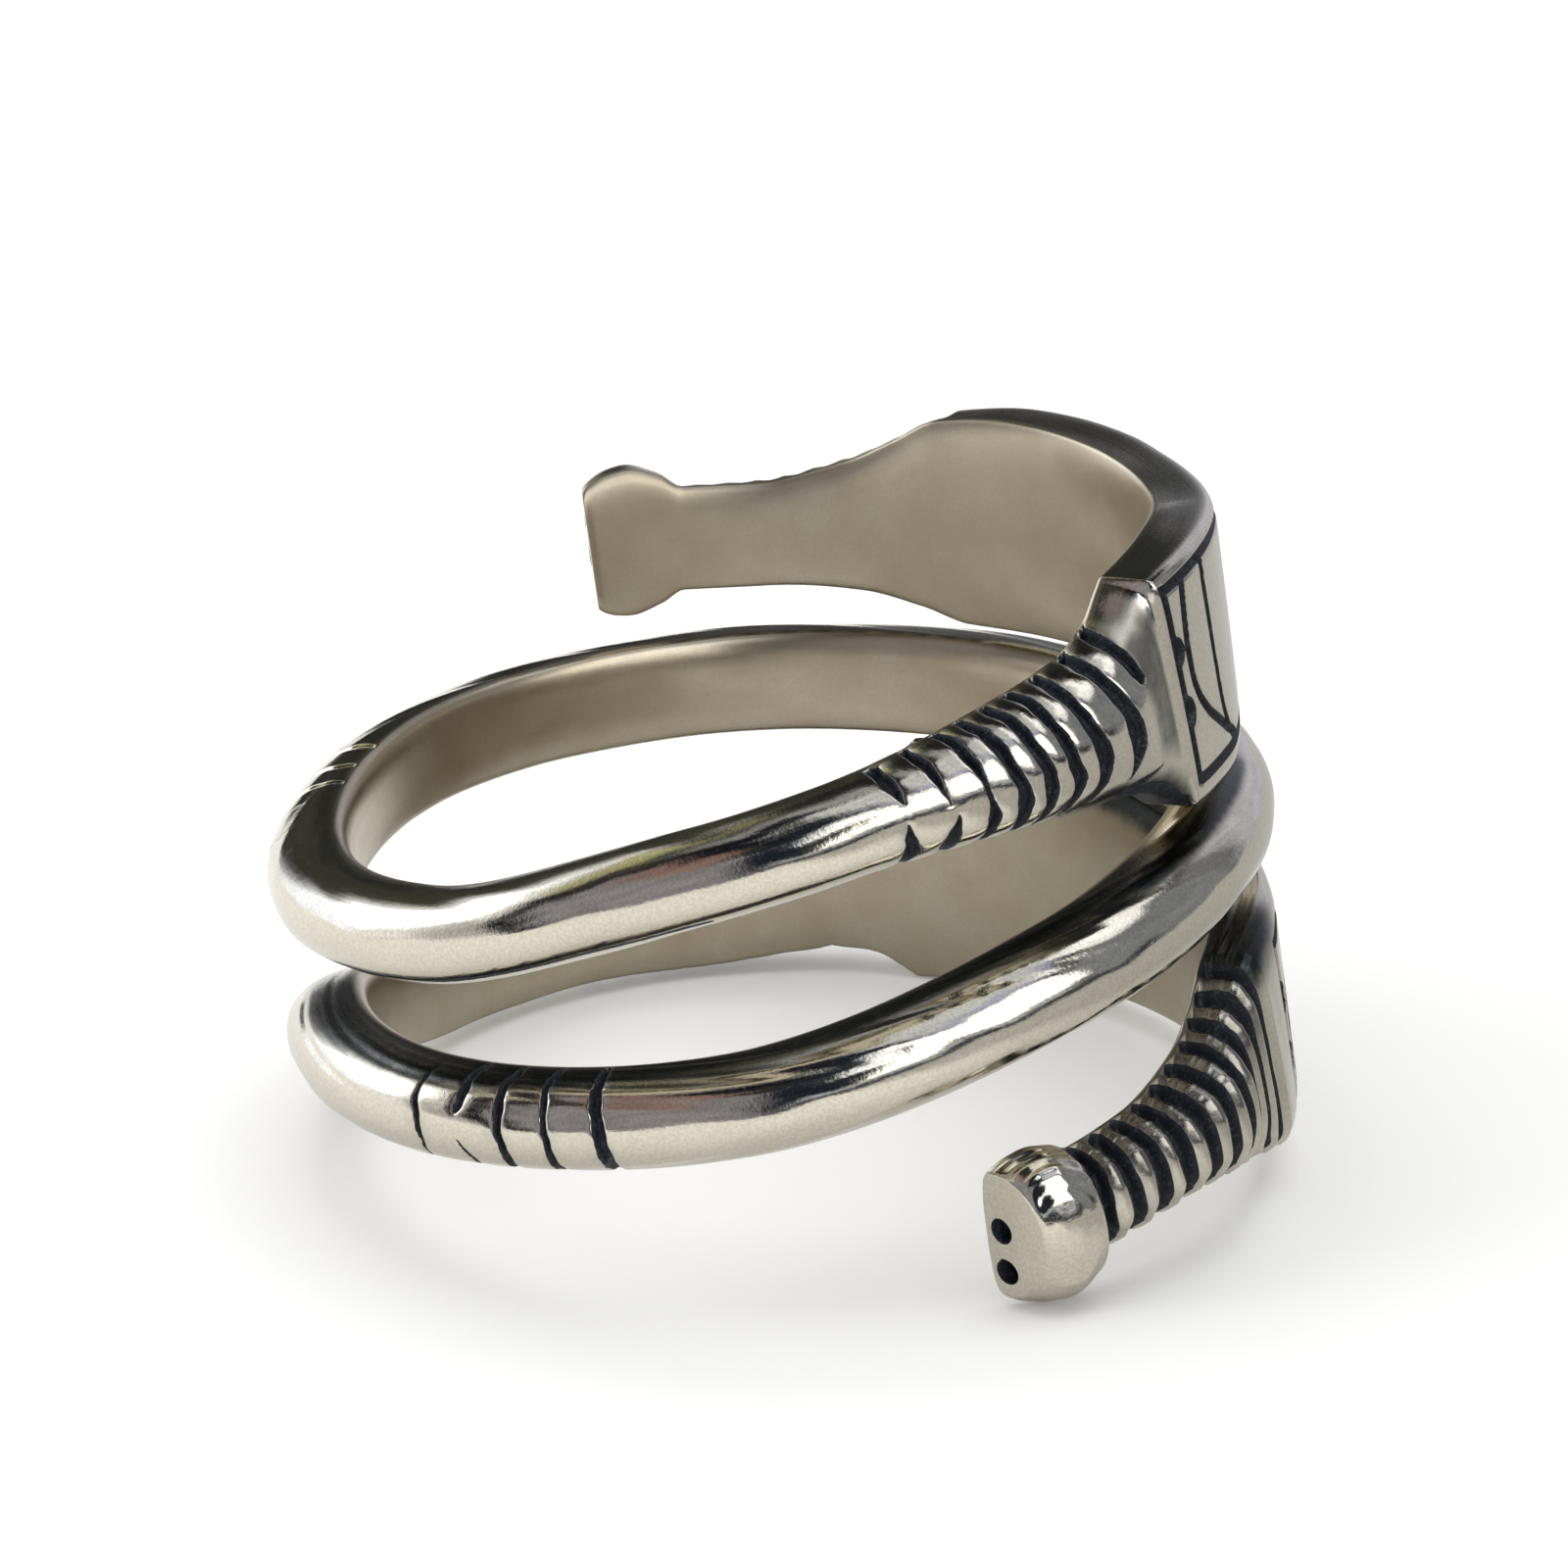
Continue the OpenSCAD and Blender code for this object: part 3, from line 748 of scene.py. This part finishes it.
def silver_finish():
    """Polished silver with fine scratches and small pits, and blue-black oxide in the cuts. The
    same black paints shade in the corner of neck and plate and a dark line along the rod, a dark
    film paints shade where parts lie close, and the inner faces are painted darker. The relief's
    heights are in tenths of a millimetre."""
    made, f = material("silver_with_oxide")
    place = f.out(f.node("ShaderNodeTexCoord"), "Object")
    along_rod = f.out(f.node("ShaderNodeUVMap", {"uv_map": "along"}))
    oxide_and_shade, worn, inner, shade_and_film, line, satin = (
        f.attribute(name) for name in ("oxide_and_shade", "worn", "inner", "shade_and_film", "line", "satin"))

    broad = f.noise(place, scale=900, detail=2)
    fine = f.noise(place, scale=3500, detail=3)
    grain = f.noise(place, scale=14000, detail=3, rough=0.6)
    lines = f.noise(f.stretched(along_rod, (0.5, 9)), scale=1, detail=4, rough=0.6)
    hairs = f.noise(f.stretched(along_rod, (22, 1.1), turn=0.5), scale=1, detail=4, rough=0.7)
    hairs = hairs.ease(0.62, 0.74)

    # A painted dark line along the rod, standing in for a dark reflection along its edge
    painted_dark_line = 1 - (line + (fine - 0.5) * 3).ease(2.4, 4.0)
    # Black where there is oxide, and where black shade and the dark line are painted
    dark = (oxide_and_shade + painted_dark_line + (fine - 0.5) * 0.12).ease(0.4, 0.6)
    # The dark film: real film in places, painted shade and dark reflection in others
    film_and_shade = (shade_and_film + (fine - 0.5) * 0.5 * shade_and_film + (broad - 0.5) * 0.4 * shade_and_film).ease(0, 1)
    stain = (worn * 0.55 + (broad - 0.5) * 0.9 + (fine - 0.5) * 0.7).ease(0.15, 0.75)
    metal = f.mix(grain.ease(0.35, 0.65), SILVER_DULL, SILVER_BRIGHT)
    metal = f.mix(stain * 0.42, metal, STAINED)
    # Painted shade: the inner faces darker and warmer
    metal = f.mix(inner * (0.75 + (broad - 0.5) * 0.6), metal, INNER_SHADE)
    metal = f.mix(film_and_shade, metal, DARK_FILM_AND_SHADE)
    # The black and blue of oxide, which also colour the painted shade and dark line
    oxide_and_shade_black = f.mix((grain * 0.6 + fine * 0.4).ease(0.5, 0.68), OXIDE_AND_SHADE_BLACK, OXIDE_AND_SHADE_BLUE)
    colour = f.mix(dark, metal, oxide_and_shade_black)
    rough = 0.09 + lines.ease(0.4, 0.7) * 0.06 + hairs * 0.05 + stain * 0.08
    rough = rough + inner * 0.2 + film_and_shade * 0.16 + satin * 0.26
    rough = rough * (1 - dark) + dark * 0.55

    relief = (broad - 0.5) * 0.05 + (fine - 0.5) * 0.028 + (lines - 0.5) * 0.015 - hairs * 0.004
    relief = relief * (1 - inner * 0.6)
    relief = relief + (grain - 0.5) * (0.016 + film_and_shade * 0.04 + dark * 0.14)
    bump = f.node("ShaderNodeBump", Strength=1.0, Distance=0.0001, Height=relief)
    f.surface(f.node("ShaderNodeBsdfPrincipled", Base_Color=colour, Roughness=rough,
                     Metallic=1 - dark * 0.6, Normal=f.out(bump)))
    return made


silver = silver_finish()

# Stretches of the rod, from one tip to the other, each with its step in mm. The cuts hide
# most of the joins.
SNOUT_END, NECK_START, NECK_END = 47.0, 154.8, 200.0
SNOUT_ROWS = rows((0, 1.6, 0.03), (1.6, 9.6, 0.06), (9.6, SNOUT_END, 0.05))
PLATE_ROWS = rows((SNOUT_END, 49.5, 0.045), (49.5, 70, 0.06), (70, 122, 0.16),
                  (122, 140, 0.035), (140, 143, 0.025), (143, NECK_START, 0.035))
NECK_ROWS = rows((NECK_START, 187, 0.03), (187, 199.8, 0.15), (199.8, NECK_END, 0.012))
ROD_ROWS = rows((NECK_END, 200.2, 0.012), (200.2, 288, 0.2), (288, 319, 0.045), (319, 448, 0.2))
for label, tips, turns, cap_rings in (("snout", SNOUT_ROWS, columns(150, 100), 84),
                                      ("plate", PLATE_ROWS, columns(220, 40), 0),
                                      ("neck", NECK_ROWS, columns(190, 40), 0)):
    piece("upper_" + label, FIRST_ANGLE + tips, turns, silver, cap_rings)
    piece("lower_" + label, LAST_ANGLE - tips[::-1], turns, silver, cap_rings)
rod_angles = np.concatenate([FIRST_ANGLE + ROD_ROWS, LAST_ANGLE - ROD_ROWS[::-1][1:]])
piece("rod", rod_angles, columns(76, 24), silver)

FLOOR_RADIUS = 0.7


def floor():
    """A round pale floor. In reflections it is darker near the ring, which keeps the light
    off it, and to the right. Both eases are over distances in metres."""
    turns = np.linspace(0, 2 * np.pi, 96, endpoint=False)
    points = FLOOR_RADIUS * np.stack([np.cos(turns), np.sin(turns), 0 * turns], -1)
    mesh = bpy.data.meshes.new("floor")
    mesh.from_pydata(points.tolist(), [], [list(range(len(turns)))])
    made, f = material("pale_floor")
    place = f.out(f.node("ShaderNodeTexCoord"), "Object")
    right = f.out(f.node("ShaderNodeSeparateXYZ", Vector=place), "X")
    away = f.out(f.node("ShaderNodeVectorMath", {"operation": "LENGTH"}, _0=place), "Value")
    reflected = f.out(f.node("ShaderNodeLightPath"), "Is Glossy Ray")
    near = reflected * (1 - away.ease(0.004, 0.032))
    beside = reflected * right.ease(0.008, 0.018)
    base = f.mix(beside, f.mix(near, (0.88, 0.88, 0.875, 1), grey(0.8)), (0.46, 0.46, 0.45, 1))
    glow = f.mix(beside, f.mix(near, WHITE, grey(0.25)), grey(0.4))
    f.surface(f.node("ShaderNodeBsdfPrincipled", Base_Color=base, Roughness=0.7,
                     Specular_IOR_Level=0.1, Emission_Color=glow, Emission_Strength=0.16))
    mesh.materials.append(made)
    linked("floor", mesh)


floor()


def turn_to(obj, right, up, back, place):
    """Turns an object so that its own three directions are these, and puts it in its place."""
    matrix = Matrix(np.column_stack([right, up, back]).tolist()).to_4x4()
    matrix.translation = place
    obj.matrix_world = matrix


def lamp(name, side, place, size, brightness, colour, down=False):
    """A rectangular lamp that faces the ring, upright at a side of it or flat above it. Its
    power follows from its brightness and its area."""
    light = bpy.data.lights.new(name, "AREA")
    light.shape = "RECTANGLE"
    light.size, light.size_y = size
    light.energy = brightness * np.pi * size[0] * size[1]
    light.color = colour
    obj = linked(name, light)
    turn = np.radians(side)
    back = np.array([np.sin(turn), -np.cos(turn), 0])
    up = np.array([0, 0, 1.0])
    if down:
        back, up = up, back
    turn_to(obj, np.cross(up, back), up, back, place)
    return obj


def window(name, left, right, low, high, brightness, colour):
    """An upright lamp a metre away, between two sides and two heights in degrees. A side
    counts from the front, positive to the right."""
    side = (left + right) / 2
    width = 2 * np.tan(np.radians(right - left) / 2)
    bottom, top = np.tan(np.radians([low, high]))
    turn = np.radians(side)
    place = (np.sin(turn), -np.cos(turn), (bottom + top) / 2)
    return lamp(name, side, place, (width, top - bottom), brightness, colour)


# The windows show in the shine of the metal alone, and the other two lamps light all else
panes = [window("front_window", 7, 63, 17, 60, 2.3, (0.98, 0.99, 1)),
         window("back_window", -149, -121, 13, 30, 1.6, (1, 1, 0.96))]
for pane in panes:
    pane.visible_diffuse = False
lights = [window("left_light", -120, -60, 10, 42, 2.6, (1, 1, 1)),
          lamp("ceiling", 0, (0, 0.2, 1.2), (1.4, 1.4), 1.85, (1, 1, 1), down=True)]
for light in lights:
    light.visible_glossy = False

# The room that the silver reflects, as soft-edged cards round it. Each row is the side and
# the rise of a card's middle, half its width and height in degrees, how far it leans to the
# left for each degree of rise, the softness of its edge in degrees, and its light.
CARDS = [
    (-116, 10, 38, 26, 0.3, 7, (1.2, 1.2, 1.24)),
    (-138, 12, 16, 20, 0, 7, (1.5, 1.6, 1.8)),
    (-98, 14, 14, 12, 0.8, 6, (0.62, 0.62, 0.64)),
    (-163, 22, 8, 12, 0, 6, (0.06, 0.06, 0.045)),
    (-136, 42, 17, 6, 0, 5, (0.56, 0.55, 0.32)),
    (-150, 63, 25, 8, 0, 6, (0.4, 0.42, 0.45)),
    (-52, 24, 38, 26, 0.8, 2, (0.33, 0.325, 0.37)),
    (-76, 54, 28, 6.5, 0.5, 3, (0.33, 0.22, 0.205)),
    (-93, 21, 7, 27, 1.25, 3, (0.008, 0.009, 0.012)),
    (-113, 41, 12, 9, 1.0, 5, (0.04, 0.035, 0.04)),
    (92, 20, 28, 32, 0, 5, (0.26, 0.28, 0.32)),
    (148, 18, 24, 26, 0, 8, (0.59, 0.6, 0.7)),
    (128, 65, 50, 12, 0, 4, (1.5, 1.55, 1.68)),
    (162, 54, 24, 10, 0, 4, (0.012, 0.01, 0.005)),
    (-172, 48, 12, 14, 0, 4, (0.02, 0.02, 0.02)),
    (0, 82, 180, 10, 0, 5, (0.77, 0.82, 0.88)),
    (-54, 70, 32, 5.5, 0.5, 3, (0.008, 0.01, 0.02)),
    (-108, 66, 30, 7, 0.5, 3, (0.008, 0.01, 0.02)),
    (-13, 34, 13, 38, 0.45, 3, (0.012, 0.02, 0.035)),
    (-2, 52, 9, 9, 0.4, 2, (1.6, 1.7, 1.9)),
    (36, 65, 34, 4, 0, 2, (0.52, 0.56, 0.82)),
    (30, 71, 50, 2.5, 0, 2, (0.6, 0.64, 0.78)),
    (26, 11, 36, 3, 0, 1.5, (0.62, 0.66, 0.75)),
    (50, 3, 36, 5, 0, 2, (0.06, 0.065, 0.08)),
]
# The room where there is no card, and its even mean
DIM = (0.03, 0.032, 0.03)
EVEN = (0.42, 0.42, 0.41)


def studio():
    """World light: white behind the scene for the camera, the cards for what the metal
    reflects, and their even mean for the floor."""
    world = bpy.data.worlds.new("studio")
    bpy.context.scene.world = world
    world.use_nodes = True
    f = Finish(world.node_tree)
    way = f.out(f.node("ShaderNodeTexCoord"), "Generated")
    parts = f.node("ShaderNodeSeparateXYZ", Vector=way)
    x, y, z = (f.out(parts, axis) for axis in "XYZ")
    coarse = f.noise(way, scale=2.2, detail=3, rough=0.6) - 0.5
    ragged = f.noise(way, scale=7, detail=4, rough=0.65) - 0.5
    side = x.math("ARCTAN2", y * -1) * (180 / np.pi) + ragged * 10 + coarse * 8
    rise = z.math("ARCSINE") * (180 / np.pi) + ragged * 6
    colour = (*DIM, 1)
    for middle, height, width, tall, lean, soft, light in CARDS:
        v = rise - height
        u = (side - middle + v * lean).math("WRAP", 180, -180)
        share = (width - abs(u)).ease(-soft, soft) * (tall - abs(v)).ease(-soft, soft)
        colour = f.mix(share, colour, (*light, 1))
    scale = f.node("ShaderNodeVectorMath", {"operation": "SCALE"}, _0=colour,
                   Scale=1 + ragged * 1.3 + coarse * 0.5)
    room = f.node("ShaderNodeBackground", Color=f.out(scale))
    even = f.node("ShaderNodeBackground", Color=(*EVEN, 1))
    seen = f.node("ShaderNodeBackground", Color=WHITE)
    path = f.node("ShaderNodeLightPath")
    lit = f.node("ShaderNodeMixShader", _0=f.out(path, "Is Glossy Ray"), _1=f.out(even),
                 _2=f.out(room))
    shown = f.node("ShaderNodeMixShader", _0=f.out(path, "Is Camera Ray"), _1=f.out(lit),
                   _2=f.out(seen))
    f.surface(shown, "ShaderNodeOutputWorld")


studio()
bpy.context.scene.view_settings.view_transform = "Standard"

# The camera: its turns about the ring before the ring is leaned, and its place
CAMERA_RISE, CAMERA_YAW, CAMERA_ROLL = np.radians([18.909, 1.327, 8.488])
CAMERA_SIDE, CAMERA_UP, CAMERA_DISTANCE = -5.303, 1.633, 250.419
LENS, SENSOR_WIDTH = 273.6, 36


def place_camera():
    """The camera's three directions are a rise, a yaw and a roll, as turn matrices, and its
    place is the offset along them. Both are then leaned with the ring."""
    forward = np.array([0, np.cos(CAMERA_RISE), -np.sin(CAMERA_RISE)])
    right = np.array([1.0, 0, 0])
    base = np.stack([right, np.cross(right, forward), forward])
    c, s = np.cos(CAMERA_YAW), np.sin(CAMERA_YAW)
    yaw = np.array([[c, 0, -s], [0, 1, 0], [s, 0, c]])
    c, s = np.cos(CAMERA_ROLL), np.sin(CAMERA_ROLL)
    roll = np.array([[c, -s, 0], [s, c, 0], [0, 0, 1]])
    turned = roll @ yaw @ base
    centre = base.T @ np.array([CAMERA_SIDE, CAMERA_UP, -CAMERA_DISTANCE])
    ends = leaned(np.concatenate([centre[None], centre + turned])) * MM
    right, up, forward = unit(ends[1:] - ends[0])
    camera = bpy.data.cameras.new("camera")
    camera.lens = LENS
    camera.sensor_width = SENSOR_WIDTH
    camera.sensor_fit = "HORIZONTAL"
    camera.clip_start, camera.clip_end = 0.01, 20
    obj = linked("camera", camera)
    turn_to(obj, right, up, -forward, ends[0])
    bpy.context.scene.camera = obj


place_camera()
